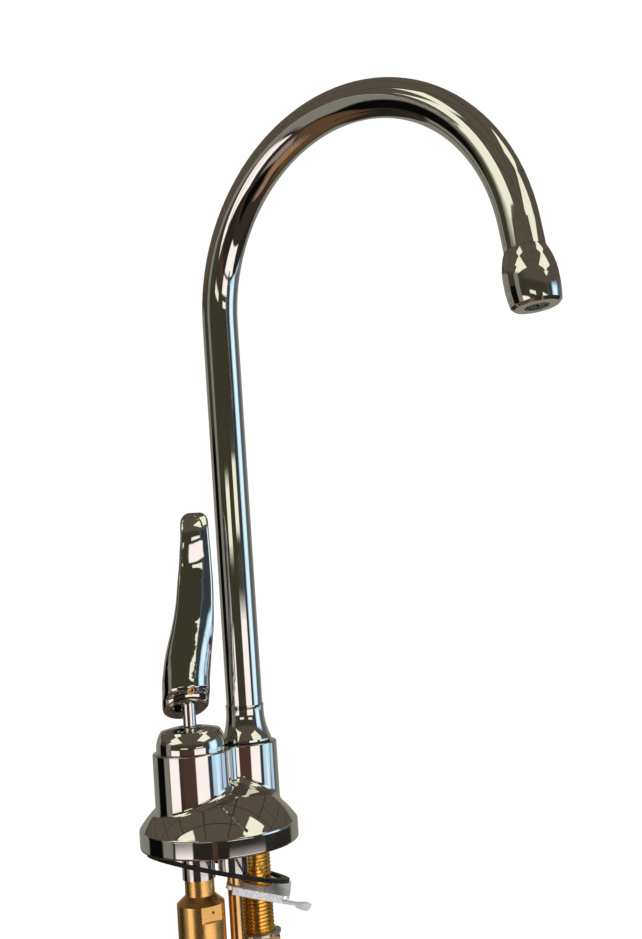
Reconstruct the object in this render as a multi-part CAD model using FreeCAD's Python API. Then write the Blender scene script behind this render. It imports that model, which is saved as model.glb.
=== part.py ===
"""Instant hot water tap: a swivel gooseneck and a lever valve side by side on one round foot.

Millimetres, +Z up. The origin is the middle of the foot, on the plane of the sink deck.
+X runs from the valve to the spout and the user stands at -Y.
"""
import FreeCAD
import Part
import math
import os

# Plated shell with the foot and twin bosses, and the waterways fixed in it
base_radius = 27.2
rim_height = 6.3
rim_round = 1.6
rim_edge = 0.8
dome_apex = 21.0
boss_top = 32.3
boss_edge = 0.5
foot_fillet = 2.6
waist_round = 3.2
shell_wall = 3.2
shell_web = 1.6
valve_x = -9.0
valve_boss_radius = 13.3
spout_x = 13.4
spout_boss_radius = 10.4
lower_boss_drop = 10.4
valve_lower_radius = 5.6
tube_boss_radius = 5.2
tube_x = 2.7
tube_y = -3.4
column_wall = 2.2
block_radius = 11.2
socket_radius = 8.5
socket_rise = 0.5
socket_mouth = 0.2

# Clearances: set for pieces that are screwed or pressed home, run for pieces that turn or slide
set_fit = 0.05
run_fit = 0.06
seat_gap = 0.08

# Spout: gooseneck tube, collar, spigot and outlet
tube_radius = 6.35
tube_wall = 1.0
gooseneck_rise = 181.1
bend_radius = 62.6
bend_angle = 172.0
tail_length = 8.1
spout_azimuth = -75.4
thrust_washer_thick = 0.4
thrust_washer_inset = 0.5
washer_play = 0.25
collar_foot_radius = 8.7
collar_waist_radius = 7.15
collar_waist_height = 5.2
collar_lip_radius = 6.72
collar_height = 12.3
collar_band = 0.6
spigot_radius = 6.9
spigot_depth = 22.0
spigot_bore = 3.6
spigot_nose = 11.0
o_ring_wire = 0.7
o_ring_groove = 1.8
o_ring_depths = (6.5, 12.5)
snap_ring_depth = 18.0
snap_ring_thick = 1.2
snap_ring_bite = 0.7
snap_ring_gap = 3.0
nozzle_length = 17.8
nozzle_belly_radius = 8.3
nozzle_belly_at = 9.8
nozzle_lip_radius = 7.7
nozzle_lip_round = 0.9
nozzle_bore = 3.1
nozzle_nose = 4.6
outlet_radius = 3.8
outlet_depth = 5.2
insert_length = 3.6
insert_ring = 0.6
insert_rib = 0.6
insert_ribs = 3

# Lever and the ball that it rocks on
cap_radius = 11.9
cap_wall_height = 1.5
cap_shoulder_radius = 10.1
cap_shoulder_height = 7.1
cap_height = 8.2
cap_step = 0.35
cap_skirt_length = 7.3
cap_skirt_radius = 9.95
cap_bore = 8.1
pivot_rise = 4.5
ball_radius = 4.6
ball_seal_wire = 0.8
ball_seal_lip = 0.75
stem_hole = 3.9
stem_radius = 2.25
stem_grip = 8.0
rocker_radius = 6.0
rocker_drop = 5.5
rocker_thick = 1.3
lever_range = 18.0
handle_rise = 10.2
handle_azimuth = 74.0
handle_length = 66.4
handle_sole_slant = 33.0
handle_sole_round = 1.7
handle_bulb_half = 8.27
handle_tip_half = 4.98
handle_bulb_depth = 7.9
handle_set_back = 2.2
handle_tip_depth = 1.95
handle_sweep = 2.2
handle_drift = 6.07
set_screw_radius = 1.5
set_screw_socket = 0.85
set_screw_rise = 6.1
set_screw_length = 1.9

# Valve stack in the left boss, from the rocker down to the seat
rocker_play = 0.1
plunger_head_radius = 6.5
plunger_head_thick = 1.6
plunger_radius = 2.0
plunger_tail_radius = 1.4
spring_length = 9.4
spring_mean_radius = 4.2
spring_wire = 0.45
spring_turns = 5
guide_flange_radius = 8.5
guide_flange_thick = 1.5
guide_radius = 6.0
guide_length = 6.5
plunger_seal_wire = 0.75
cage_length = 5.0
cage_wall = 1.4
cage_port = 1.5
valve_seat_thick = 2.0
valve_seat_hole = 2.7
seat_washer_radius = 3.9
seat_washer_thick = 1.5
holder_radius = 3.5
holder_thick = 1.4
poppet_room = 0.7
port_radius = 1.6

# Under the deck: supply fitting, feed tube, threaded shank and clamp pieces
fitting_spigot_radius = 3.85
fitting_neck_radius = 5.0
fitting_neck_length = 5.3
fitting_cone_length = 2.7
fitting_radius = 8.1
fitting_length = 27.6
fitting_flats = 14.2
fitting_flats_height = 5.4
fitting_thread_radius = 6.4
fitting_thread_length = 10.0
fitting_passage = 2.4
inlet_tube_radius = 3.175
inlet_tube_wall = 0.8
inlet_tube_grip = 6.0
inlet_tube_length = 44.0
inlet_tube_push = 20.0
inlet_nut_flats = 17.0
inlet_nut_length = 13.0
inlet_nut_cover = 7.0
olive_width = 1.6
olive_lip = 0.4
feed_tube_radius = 2.38
feed_tube_wall = 0.75
feed_tube_grip = 10.0
feed_tube_length = 89.6
feed_tube_push = 16.0
push_line_depth = 0.2
push_line_width = 0.5
shank_radius = 5.56
shank_bore = 3.0
shank_grip = 6.0
shank_length = 62.0
barb_spigot_length = 8.0
barb_flats = 9.0
barb_flats_height = 4.0
barb_radius = 4.2
barb_neck_radius = 3.4
barb_pitch = 4.0
barb_count = 3
barb_bore = 1.8
nut_top = -34.0
nut_flats = 14.2
nut_height = 7.0
nut_chamfer = 0.9
lock_washer_radius = 7.7
lock_washer_thick = 0.8
lock_washer_teeth = 8
gasket_radius = 24.75
gasket_width = 3.0
gasket_thick = 1.3
gasket_tilt = 17.6
gasket_hang = 0.32
plate_azimuth = -36.1
plate_tilt = 13.8
plate_height = -16.0
plate_thick = 1.2
plate_left = 9.6
plate_right = 12.5
plate_front = 13.0
plate_back = 8.5
plate_corner = 2.5
plate_lip_drop = 2.6
plate_lip_thick = 0.9
plate_teeth = 34
plate_tooth_depth = 0.35
plate_tail_length = 7.7
plate_tail_width = 2.5
plate_tail_height = 1.0
plate_play = 0.25

# Levels and places that follow from the sizes above
pivot_height = boss_top + pivot_rise
rocker_foot = pivot_height - rocker_drop
valve_travel = rocker_radius * math.radians(lever_range)
plunger_top = rocker_foot - rocker_play
spring_top = plunger_top - plunger_head_thick - seat_gap
spring_foot = spring_top - spring_length
guide_top = spring_foot - seat_gap
guide_shoulder = guide_top - guide_flange_thick
guide_foot = guide_shoulder - guide_length
seat_top = guide_foot - cage_length
seat_foot = seat_top - valve_seat_thick
washer_top = seat_foot - seat_gap
washer_foot = washer_top - seat_washer_thick
holder_top = washer_foot - set_fit
holder_foot = holder_top - holder_thick
poppet_floor = holder_foot - valve_travel - poppet_room
port_height = 0.5 * (guide_foot + seat_top)
lower_face = -lower_boss_drop
collar_foot = boss_top + thrust_washer_thick + 2 * seat_gap
tube_foot = collar_foot + set_fit
spigot_foot = boss_top - spigot_depth
tube_bore = tube_radius - tube_wall
spout_turn = math.radians(spout_azimuth)
spout_direction = FreeCAD.Vector(math.cos(spout_turn), math.sin(spout_turn), 0)
up = FreeCAD.Vector(0, 0, 1)


def point(x, y, z):
    return FreeCAD.Vector(x, y, z)


def rod(x, y, radius, low, high):
    """Upright round bar between two heights."""
    return Part.makeCylinder(radius, high - low, point(x, y, low))


def ring(x, y, outer, inner, low, high):
    """Upright washer or bush between two heights."""
    return rod(x, y, outer, low, high).cut(rod(x, y, inner, low, high))


def turned(outline, x=0.0, y=0.0):
    """Solid of revolution from straight and three-point arc steps of (radius, height)."""
    edges = []
    start = point(outline[0][0], 0, outline[0][1])
    first = start
    for step in outline[1:]:
        end = point(step[-2], 0, step[-1])
        if len(step) == 2:
            edges.append(Part.LineSegment(start, end).toShape())
        else:
            edges.append(Part.Arc(start, point(step[0], 0, step[1]), end).toShape())
        start = end
    edges.append(Part.LineSegment(start, first).toShape())
    solid = Part.Face(Part.Wire(edges)).revolve(point(0, 0, 0), up, 360)
    solid.translate(point(x, y, 0))
    return solid


def o_ring(x, y, centre_radius, wire, height):
    return Part.makeTorus(centre_radius, wire, point(x, y, height), up)


def hexagon(x, y, flats, low, high, azimuth=0.0):
    """Six-sided bar, across flats."""
    corner = flats / math.sqrt(3)
    corners = [point(x + corner * math.cos(math.radians(azimuth + 60 * turn)),
                     y + corner * math.sin(math.radians(azimuth + 60 * turn)), low) for turn in range(7)]
    return Part.Face(Part.makePolygon(corners)).extrude(point(0, 0, high - low))


def hex_nut(x, y, flats, low, high, chamfer):
    """Six-sided bar whose corners are turned off at both ends."""
    corner = flats / math.sqrt(3)
    flat = 0.5 * flats
    blank = turned([(0, low), (flat, low), (corner, low + chamfer), (corner, high - chamfer), (flat, high),
                    (0, high)], x, y)
    return hexagon(x, y, flats, low, high).common(blank)


def dome_height(radius, apex, edge_radius, edge_height):
    """Height on the round dome that has its top at apex and ends at edge_radius, edge_height."""
    sagitta = apex - edge_height
    sphere = (edge_radius ** 2 + sagitta ** 2) / (2 * sagitta)
    return apex - sphere + math.sqrt(sphere ** 2 - radius ** 2)


def domed_plug(radius, edge_height, apex, low):
    """Round plug with a flat underside and a domed top."""
    middle = 0.7 * radius
    return turned([(0, low), (radius, low), (radius, edge_height),
                   (middle, dome_height(middle, apex, radius, edge_height), 0, apex)])


def waist_outline(height):
    """Outline of the twin bosses: two circles joined by small hollow arcs at the waist."""
    span = spout_x - valve_x
    left = valve_boss_radius + waist_round
    right = spout_boss_radius + waist_round
    along = (span ** 2 + left ** 2 - right ** 2) / (2 * span)
    across = math.sqrt(left ** 2 - along ** 2)
    hollow = point(valve_x + along, across, height)
    valve_hub = point(valve_x, 0, height)
    spout_hub = point(spout_x, 0, height)
    left_touch = valve_hub + (hollow - valve_hub) * (valve_boss_radius / left)
    right_touch = spout_hub + (hollow - spout_hub) * (spout_boss_radius / right)
    dip = point(hollow.x, hollow.y - waist_round, height)

    def mirrored(place):
        return point(place.x, -place.y, place.z)

    arcs = [Part.Arc(left_touch, point(valve_x - valve_boss_radius, 0, height), mirrored(left_touch)),
            Part.Arc(mirrored(left_touch), mirrored(dip), mirrored(right_touch)),
            Part.Arc(mirrored(right_touch), point(spout_x + spout_boss_radius, 0, height), right_touch),
            Part.Arc(right_touch, dip, left_touch)]
    return Part.Face(Part.Wire([arc.toShape() for arc in arcs]))


def outer_casting():
    """Domed foot with the twin bosses blended into it."""
    foot = domed_plug(base_radius, rim_height, dome_apex, 0)
    bosses = waist_outline(rim_height).extrude(point(0, 0, boss_top - rim_height))
    blank = foot.fuse(bosses).removeSplitter()
    blends = [edge for edge in blank.Edges if edge.BoundBox.ZMin > rim_height + rim_round
              and edge.BoundBox.ZMax < boss_top - boss_edge]
    blank = blank.makeFillet(min(foot_fillet, 0.9 * waist_round), blends)
    crests = [edge for edge in blank.Edges if edge.BoundBox.ZMin > boss_top - 0.5 * boss_edge]
    blank = blank.makeFillet(boss_edge, crests)
    rims = [edge for edge in blank.Edges if abs(edge.BoundBox.ZMin - rim_height) < 0.01
            and abs(edge.BoundBox.ZMax - rim_height) < 0.01 and edge.BoundBox.XLength > 1.9 * base_radius]
    blank = blank.makeFillet(rim_round, rims)
    soles = [edge for edge in blank.Edges if edge.BoundBox.ZMax < 0.01
             and edge.BoundBox.XLength > base_radius]
    return blank.makeFillet(rim_edge, soles)


def body():
    """Plated shell, hollow below and bored from below for the valve block and the spout socket."""
    hollow = domed_plug(base_radius - shell_wall, rim_height - shell_wall, dome_apex - shell_wall, 0)
    solid = outer_casting().cut(hollow)
    web = boss_top - shell_web
    for cut in (rod(valve_x, 0, block_radius + set_fit, 0, web),
                rod(valve_x, 0, cap_skirt_radius + set_fit, 0, boss_top),
                rod(spout_x, 0, socket_radius + set_fit, 0, web),
                rod(spout_x, 0, spigot_radius + socket_mouth, 0, boss_top)):
        solid = solid.cut(cut)
    return solid


def valve_block():
    """Waterway under the cap: bore for the valve, side boss for the feed tube and the port between."""
    column = guide_radius + set_fit + column_wall
    head_foot = guide_shoulder - column_wall
    column_foot = seat_foot - column_wall
    solid = rod(valve_x, 0, block_radius, head_foot, boss_top - shell_web - set_fit)
    solid = solid.fuse(rod(valve_x, 0, column, column_foot, head_foot))
    solid = solid.fuse(rod(valve_x, 0, valve_lower_radius, lower_face, seat_foot))
    side_top = port_height + port_radius + column_wall
    solid = solid.fuse(rod(tube_x, tube_y, tube_boss_radius, lower_face, side_top))
    solid = solid.removeSplitter()
    reach = point(tube_x - valve_x, tube_y, 0)
    for cut in (rod(valve_x, 0, cap_skirt_radius + set_fit, boss_top - cap_skirt_length - set_fit, boss_top),
                rod(valve_x, 0, guide_flange_radius + set_fit, guide_shoulder, boss_top),
                rod(valve_x, 0, guide_radius + set_fit, seat_foot, guide_top),
                rod(valve_x, 0, seat_washer_radius + poppet_room, poppet_floor, seat_top),
                rod(valve_x, 0, fitting_spigot_radius + set_fit, lower_face, seat_foot),
                rod(tube_x, tube_y, feed_tube_radius + set_fit, lower_face,
                    lower_face + feed_tube_grip + set_fit),
                rod(tube_x, tube_y, port_radius, lower_face, port_height),
                rod(spout_x, 0, socket_radius + set_fit, 0, boss_top),
                Part.makeCylinder(port_radius, reach.Length, point(valve_x, 0, port_height), reach)):
        solid = solid.cut(cut)
    return solid


def spout_socket():
    """Brazed bush in which the spigot turns, with the snap ring's groove and the hole for the shank."""
    ring_foot = boss_top - snap_ring_depth - snap_ring_thick - set_fit
    solid = rod(spout_x, 0, socket_radius, socket_rise, boss_top - shell_web - set_fit)
    for cut in (rod(spout_x, 0, spigot_radius + run_fit, spigot_foot - seat_gap, boss_top),
                rod(spout_x, 0, spigot_radius + snap_ring_bite + set_fit, ring_foot,
                    boss_top - snap_ring_depth + set_fit),
                rod(spout_x, 0, shank_radius + set_fit, 0, shank_grip + set_fit),
                rod(spout_x, 0, shank_bore, 0, boss_top)):
        solid = solid.cut(cut)
    return solid


def section_ring(centre, normal):
    """Annular face of the gooseneck tube."""
    outer = Part.Wire(Part.Circle(centre, normal, tube_radius).toShape())
    inner = Part.Wire(Part.Circle(centre, normal, tube_bore).toShape())
    return Part.Face(outer).cut(Part.Face(inner))


def spout_end():
    """Place and direction of the open end of the gooseneck tube."""
    turn = math.radians(bend_angle)
    hub = point(spout_x, 0, gooseneck_rise) + spout_direction * bend_radius
    heading = up * math.cos(turn) + spout_direction * math.sin(turn)
    bend_end = hub + up * (bend_radius * math.sin(turn)) - spout_direction * (bend_radius * math.cos(turn))
    return bend_end + heading * tail_length, heading


def spout_tube():
    foot = point(spout_x, 0, tube_foot)
    crown = point(spout_x, 0, gooseneck_rise)
    hub = crown + spout_direction * bend_radius
    end, heading = spout_end()
    riser = section_ring(foot, up).extrude(crown - foot)
    bend = section_ring(crown, up).revolve(hub, up.cross(spout_direction), bend_angle)
    tail = section_ring(end - heading * tail_length, heading).extrude(heading * tail_length)
    return riser.fuse([bend, tail]).removeSplitter()


def along_spout(solid):
    """Moves a piece turned about Z, with its origin at the tube's end, onto the spout's outlet."""
    end, heading = spout_end()
    solid.Placement = FreeCAD.Placement(end, FreeCAD.Rotation(up, heading))
    return solid


def nozzle():
    """Barrel-shaped outlet that plugs into the tube's end and holds the flow straightener."""
    nose = tube_bore - set_fit
    low_belly = 0.45 * nozzle_belly_at
    swell = nozzle_belly_radius - tube_radius
    seat = nozzle_length - outlet_depth
    taper = (0.75 * nozzle_belly_radius + 0.25 * nozzle_lip_radius, 0.5 * (nozzle_belly_at + nozzle_length))
    solid = turned([(nozzle_bore, -nozzle_nose), (nose, -nozzle_nose), (nose, set_fit),
                    (tube_radius, set_fit),
                    (tube_radius + 0.75 * swell, low_belly, nozzle_belly_radius, nozzle_belly_at),
                    taper + (nozzle_lip_radius, nozzle_length - nozzle_lip_round),
                    (nozzle_lip_radius - nozzle_lip_round, nozzle_length), (outlet_radius, nozzle_length),
                    (outlet_radius, seat), (nozzle_bore, seat)])
    return along_spout(solid)


def nozzle_insert():
    """Ring with crossed ribs that straightens the stream."""
    top = nozzle_length - outlet_depth + set_fit
    outer = outlet_radius - set_fit
    solid = ring(0, 0, outer, outer - insert_ring, top, top + insert_length)
    reach = outer - 0.5 * insert_ring
    for turn in range(insert_ribs):
        rib = Part.makeBox(2 * reach, insert_rib, insert_length, point(-reach, -0.5 * insert_rib, top))
        rib.rotate(point(0, 0, 0), up, turn * 180.0 / insert_ribs)
        solid = solid.fuse(rib)
    return along_spout(solid.removeSplitter())


def spout_collar():
    """Trumpet ferrule round the foot of the tube."""
    inner = tube_radius + set_fit
    waist = collar_foot + collar_waist_height
    return turned([(inner, collar_foot), (collar_foot_radius, collar_foot),
                   (collar_foot_radius, collar_foot + collar_band),
                   (collar_waist_radius, waist, collar_lip_radius, collar_foot + collar_height),
                   (inner, collar_foot + collar_height)], spout_x)


def spout_spigot():
    """Brass plug under the tube that turns in the boss, grooved for two seals and the snap ring."""
    solid = rod(spout_x, 0, spigot_radius, spigot_foot, boss_top)
    solid = solid.fuse(rod(spout_x, 0, tube_bore - set_fit, spigot_foot, tube_foot + spigot_nose))
    shoulder = rod(spout_x, 0, tube_radius - set_fit, boss_top, tube_foot - set_fit)
    solid = solid.fuse(shoulder).removeSplitter()
    for depth in o_ring_depths:
        middle = boss_top - depth
        solid = solid.cut(ring(spout_x, 0, spigot_radius + 1, spigot_radius - 2 * o_ring_wire - set_fit,
                               middle - 0.5 * o_ring_groove, middle + 0.5 * o_ring_groove))
    solid = solid.cut(ring(spout_x, 0, spigot_radius + 1, spigot_radius - snap_ring_bite,
                           boss_top - snap_ring_depth - snap_ring_thick - run_fit,
                           boss_top - snap_ring_depth + run_fit))
    return solid.cut(rod(spout_x, 0, spigot_bore, spigot_foot, tube_foot + spigot_nose))


def spout_o_rings():
    centre = spigot_radius - o_ring_wire
    return Part.makeCompound([o_ring(spout_x, 0, centre, o_ring_wire, boss_top - depth)
                              for depth in o_ring_depths])


def spout_snap_ring():
    """Split ring that stays in the boss and keeps the spigot from lifting."""
    low = boss_top - snap_ring_depth - snap_ring_thick
    solid = ring(spout_x, 0, spigot_radius + snap_ring_bite, spigot_radius - snap_ring_bite + run_fit,
                 low, low + snap_ring_thick)
    split = Part.makeBox(2 * spigot_radius, snap_ring_gap, snap_ring_thick,
                         point(spout_x, -0.5 * snap_ring_gap, low))
    return solid.cut(split)


def spout_washer():
    low = boss_top + seat_gap
    return ring(spout_x, 0, collar_foot_radius - thrust_washer_inset, spigot_radius + washer_play,
                low, low + thrust_washer_thick)


def valve_cap():
    """Domed bonnet that screws into the valve boss and forms the socket of the ball."""
    foot = boss_top + set_fit
    socket = ball_radius + run_fit
    hole_top = pivot_height + math.sqrt(socket ** 2 - stem_hole ** 2)
    half_cup = 0.5 * math.acos(stem_hole / socket)
    wall_top = boss_top + cap_wall_height
    shoulder = boss_top + cap_shoulder_height
    inset = cap_radius - cap_shoulder_radius
    rise = shoulder - wall_top
    half_arc = math.atan2(inset, rise)
    dome = (inset ** 2 + rise ** 2) / (2 * inset)
    shoulder_bulge = (cap_radius - dome * (1 - math.cos(half_arc)), wall_top + dome * math.sin(half_arc))
    crown_half = 0.5 * (cap_shoulder_radius + stem_hole)
    crown_height = 0.35 * cap_shoulder_height + 0.65 * cap_height
    lip_floor = pivot_height - ball_seal_wire - set_fit - ball_seal_lip
    cup = (socket * math.cos(half_cup), pivot_height + socket * math.sin(half_cup))
    skirt = boss_top - cap_skirt_length
    solid = turned([(cap_bore, skirt), (cap_skirt_radius, skirt), (cap_skirt_radius, foot),
                    (cap_radius, foot), (cap_radius, wall_top),
                    shoulder_bulge + (cap_shoulder_radius, shoulder),
                    (cap_shoulder_radius - cap_step, shoulder),
                    (crown_half, boss_top + crown_height, stem_hole, boss_top + cap_height),
                    (stem_hole, hole_top), cup + (socket, pivot_height), (socket, lip_floor),
                    (cap_bore, lip_floor)], valve_x)
    return solid.cut(ring(valve_x, 0, ball_radius + 2 * ball_seal_wire + 2 * run_fit, ball_radius,
                          pivot_height - ball_seal_wire - set_fit, pivot_height + ball_seal_wire + set_fit))


def ball_seal():
    return o_ring(valve_x, 0, ball_radius + run_fit + ball_seal_wire, ball_seal_wire, pivot_height)


def stem_top():
    return pivot_height + handle_rise + stem_grip


def lever_stem():
    """Stem with the ball that it rocks on and the rocker foot that pushes the plunger."""
    solid = rod(valve_x, 0, stem_radius, pivot_height, stem_top())
    solid = solid.fuse(Part.makeSphere(ball_radius, point(valve_x, 0, pivot_height)))
    solid = solid.fuse(rod(valve_x, 0, rocker_radius, rocker_foot, rocker_foot + rocker_thick))
    below = Part.makeBox(4 * ball_radius, 4 * ball_radius, ball_radius,
                         point(valve_x - 2 * ball_radius, -2 * ball_radius, rocker_foot - ball_radius))
    return solid.cut(below).removeSplitter()


def handle_frame(slant):
    """Sideways direction of the handle, and the way out of its front when leant back by slant."""
    lean = math.radians(slant)
    azimuth = math.radians(handle_azimuth)
    away = point(math.cos(azimuth), math.sin(azimuth), 0)
    across = point(math.sin(azimuth), -math.cos(azimuth), 0)
    return across, up * math.sin(lean) - away * math.cos(lean)


def oval(centre, across, front, half_width, half_depth):
    """Closed oval of four tangent arcs, wider than it is deep."""
    small = 0.72 * half_depth
    large = ((half_width - small) ** 2 + half_depth ** 2 - small ** 2) / (2 * (half_depth - small))
    slope = math.atan2(half_width - small, large - half_depth)
    touch_out = half_width - small + small * math.sin(slope)
    touch_up = small * math.cos(slope)

    def place(out, forward):
        return centre + across * out + front * forward

    arcs = [Part.Arc(place(touch_out, -touch_up), place(half_width, 0), place(touch_out, touch_up)),
            Part.Arc(place(touch_out, touch_up), place(0, half_depth), place(-touch_out, touch_up)),
            Part.Arc(place(-touch_out, touch_up), place(-half_width, 0), place(-touch_out, -touch_up)),
            Part.Arc(place(-touch_out, -touch_up), place(0, -half_depth), place(touch_out, -touch_up))]
    return Part.Wire([arc.toShape() for arc in arcs])


def lever_handle():
    """Upright paddle lofted from a slanting sole and a full bulb round the stem to a thin flat tip."""
    bulb = handle_bulb_half
    tip = handle_tip_half
    thick = handle_bulb_depth
    thin = handle_tip_depth
    neck = 0.5 * (bulb + tip)
    sole = handle_sole_slant
    foot = pivot_height + handle_rise
    # height above the foot, half width, half depth, sideways, forward of the stem, slant
    stations = []
    for lift, inset in ((0, 1.0), (0.09, 0.59), (0.3, 0.29), (0.6, 0.08), (1.0, 0)):
        rounding = inset * handle_sole_round
        stations.append((lift * handle_sole_round, 0.98 * bulb - rounding, 0.97 * thick - rounding,
                         -0.09 * handle_drift, -handle_set_back, sole))
    stations.append((0.07 * handle_length, bulb, thick, -0.07 * handle_drift, -0.4 * handle_set_back,
                     0.5 * sole))
    # shares of the length, of the tip's drift to the side and of its sweep to the front
    for share, half_width, half_depth, drift, sweep in (
            (0.138, bulb, 0.98 * thick, -0.03, -0.32), (0.19, 0.995 * bulb, 0.905 * thick, 0.04, -0.17),
            (0.253, 0.98 * bulb, 0.8 * thick, 0.13, 0.07),
            (0.401, 0.9 * bulb, 0.52 * thick, 0.43, 0.68), (0.546, neck, 0.33 * thick, 0.64, 0.98),
            (0.656, 0.75 * neck + 0.25 * tip, 1.15 * thin, 0.75, 0.88),
            (0.728, 0.5 * (neck + tip), 1.08 * thin, 0.81, 0.82),
            (0.811, 1.09 * tip, 1.03 * thin, 0.84, 0.94), (0.886, 1.02 * tip, thin, 0.865, 1.0),
            (0.934, tip, 0.95 * thin, 0.885, 0.81), (0.973, 0.9 * tip, 0.82 * thin, 0.94, 0.43),
            (0.992, 0.68 * tip, 0.56 * thin, 0.98, 0.1), (1.0, 0.44 * tip, 0.3 * thin, 1.0, -0.12)):
        stations.append((share * handle_length, half_width, half_depth, drift * handle_drift,
                         sweep * handle_sweep, 0))
    wires = []
    for height, half_width, half_depth, sideways, forward, slant in stations:
        across, facing = handle_frame(slant)
        centre = point(valve_x, 0, foot + height) + across * sideways + facing * forward
        wires.append(oval(centre, across, facing, half_width, half_depth))
    solid = Part.makeLoft(wires, True, False)
    solid = solid.cut(rod(valve_x, 0, stem_radius + set_fit, pivot_height, stem_top() + seat_gap))
    return solid.cut(set_screw_bar(set_screw_radius + set_fit, 0, 3 * handle_bulb_half))


def set_screw_place():
    """Point on the stem's axis level with the set screw, and the way out of the handle's front."""
    return point(valve_x, 0, pivot_height + handle_rise + set_screw_rise), handle_frame(0)[1]


def set_screw_bar(radius, start, end):
    """Round bar along the set screw's axis, measured out from the stem's axis."""
    centre, out = set_screw_place()
    return Part.makeCylinder(radius, end - start, centre + out * start, out)


def handle_set_screw():
    """Socket set screw that clamps the handle to the stem."""
    centre, out = set_screw_place()
    inner = stem_radius + set_fit
    outer = inner + set_screw_length
    socket = hexagon(0, 0, 2 * set_screw_socket, 0, set_screw_length)
    floor = centre + out * (inner + 0.4 * set_screw_length)
    socket.Placement = FreeCAD.Placement(floor, FreeCAD.Rotation(up, out))
    return set_screw_bar(set_screw_radius, inner, outer).cut(socket)


def plunger():
    """Push rod with a broad head under the rocker and a thin tail through the seat."""
    solid = rod(valve_x, 0, plunger_head_radius, plunger_top - plunger_head_thick, plunger_top)
    solid = solid.fuse(rod(valve_x, 0, plunger_radius, guide_foot - valve_travel, plunger_top))
    return solid.fuse(rod(valve_x, 0, plunger_tail_radius, holder_foot, plunger_top)).removeSplitter()


def biarc(start, start_heading, end, end_heading):
    """Two tangent arcs between two points with given headings."""
    chord = end - start
    square = 2 * (start_heading.dot(end_heading) - 1)
    slope = -2 * chord.dot(start_heading + end_heading)
    arm = (-slope - math.sqrt(slope ** 2 - 4 * square * chord.dot(chord))) / (2 * square)
    corners = (start + start_heading * arm, end - end_heading * arm)
    joint = (corners[0] + corners[1]) * 0.5
    arcs = []
    for first, corner, last in ((start, corners[0], joint), (joint, corners[1], end)):
        middle = (first + last) * 0.5
        half = (last - first).Length * 0.5
        rise = corner - middle
        sagitta = half * math.tan(0.5 * math.atan2(rise.Length, half))
        arcs.append(Part.Arc(first, middle + rise.normalize() * sagitta, last).toShape())
    return arcs


def return_spring():
    """Compression coil between the guide and the plunger's head, one unbroken wire."""
    low = spring_foot + spring_wire
    climb = (spring_length - 2 * spring_wire) / (2 * math.pi * spring_turns)

    def wire_point(angle):
        return point(valve_x + spring_mean_radius * math.cos(angle), spring_mean_radius * math.sin(angle),
                     low + climb * angle)

    def wire_heading(angle):
        return point(-spring_mean_radius * math.sin(angle), spring_mean_radius * math.cos(angle),
                     climb).normalize()

    edges = []
    quarter = 0.5 * math.pi
    for step in range(4 * spring_turns):
        angle = step * quarter
        edges += biarc(wire_point(angle), wire_heading(angle), wire_point(angle + quarter),
                       wire_heading(angle + quarter))
    print("spring gap between turns", round(2 * math.pi * climb - 2 * spring_wire, 2))
    profile = Part.Wire(Part.Circle(wire_point(0), wire_heading(0), spring_wire).toShape())
    return Part.Wire(edges).makePipeShell([profile], True, False)


def valve_guide():
    """Flanged bush that guides the plunger and holds its seal."""
    solid = rod(valve_x, 0, guide_flange_radius, guide_shoulder, guide_top)
    solid = solid.fuse(rod(valve_x, 0, guide_radius, guide_foot, guide_shoulder)).removeSplitter()
    solid = solid.cut(rod(valve_x, 0, plunger_radius + run_fit, guide_foot, guide_top))
    middle = 0.5 * (guide_foot + guide_shoulder)
    reach = plunger_seal_wire + set_fit
    return solid.cut(rod(valve_x, 0, plunger_radius + 2 * reach + run_fit, middle - reach, middle + reach))


def plunger_seal():
    middle = 0.5 * (guide_foot + guide_shoulder)
    return o_ring(valve_x, 0, plunger_radius + run_fit + plunger_seal_wire, plunger_seal_wire, middle)


def flow_cage():
    """Ported sleeve that holds the seat down and lets water out to the feed tube."""
    solid = ring(valve_x, 0, guide_radius, guide_radius - cage_wall, seat_top + set_fit, guide_foot - set_fit)
    for turn in range(4):
        port = Part.makeCylinder(cage_port, guide_radius, point(valve_x, 0, port_height), point(1, 0, 0))
        port.rotate(point(valve_x, 0, port_height), up, 90 * turn)
        solid = solid.cut(port)
    return solid


def valve_seat():
    return ring(valve_x, 0, guide_radius, valve_seat_hole, seat_foot + set_fit, seat_top)


def seat_washer():
    return ring(valve_x, 0, seat_washer_radius, plunger_tail_radius + set_fit, washer_foot, washer_top)


def poppet_holder():
    return ring(valve_x, 0, holder_radius, plunger_tail_radius + set_fit, holder_foot, holder_top)


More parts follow.
